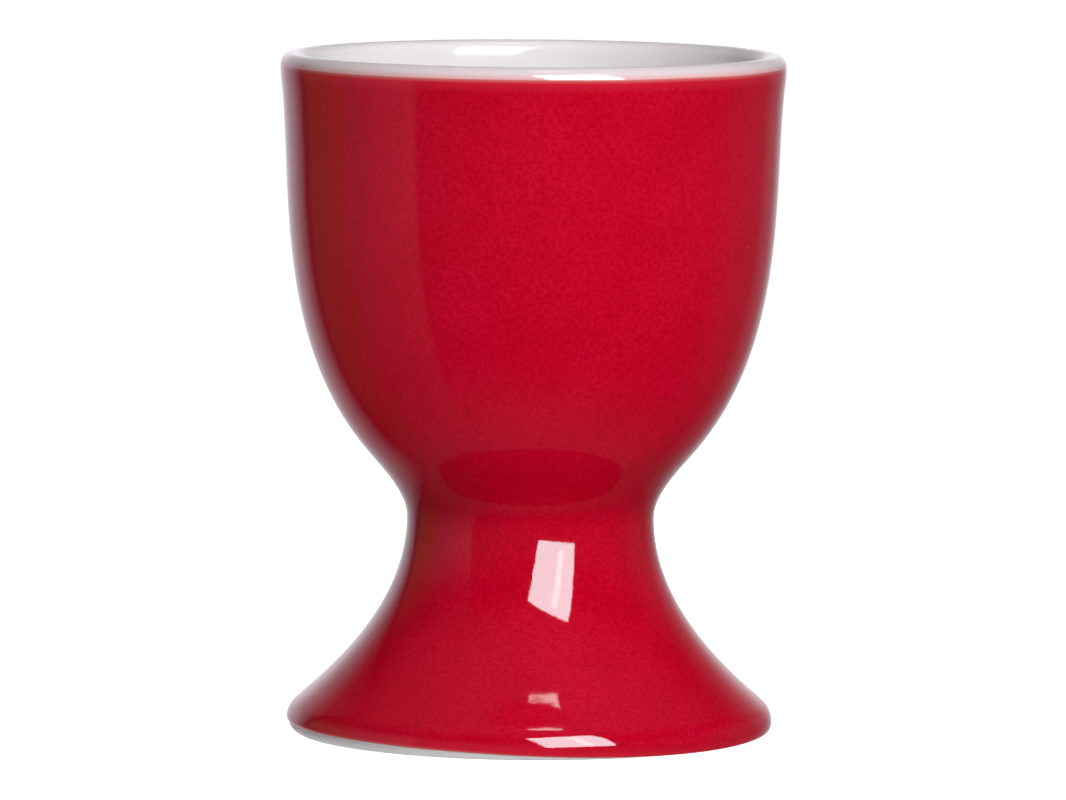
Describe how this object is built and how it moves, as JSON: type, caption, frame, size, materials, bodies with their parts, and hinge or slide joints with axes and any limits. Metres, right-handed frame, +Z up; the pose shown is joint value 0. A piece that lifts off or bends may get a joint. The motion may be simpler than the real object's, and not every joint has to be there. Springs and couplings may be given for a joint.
{
  "type": "egg cup",
  "caption": "Footed ceramic egg cup: a deep round bowl on a hollow flared foot, glazed red outside and white inside, with a bare foot ring.",
  "frame": {"origin": "centre of the foot ring's bottom face, on the cup's axis", "axes": "+Z up along the cup's axis of revolution; X and Y are any two horizontal directions, because the cup is round"},
  "size_m": [0.05, 0.05, 0.0674],
  "materials": {
    "bare_ceramic": "unglazed white ceramic, fine and matt",
    "red_glaze": "glossy crimson-red glaze",
    "white_glaze": "glossy warm white glaze",
    "clear_glaze": "glossy clear glaze over white ceramic"
  },
  "bodies": {
    "root": {"bowl_body": "bare_ceramic", "foot_body": "bare_ceramic", "outer_glaze": "red_glaze", "well_glaze": "white_glaze", "foot_hollow_glaze": "clear_glaze"}
  },
  "joints": []
}
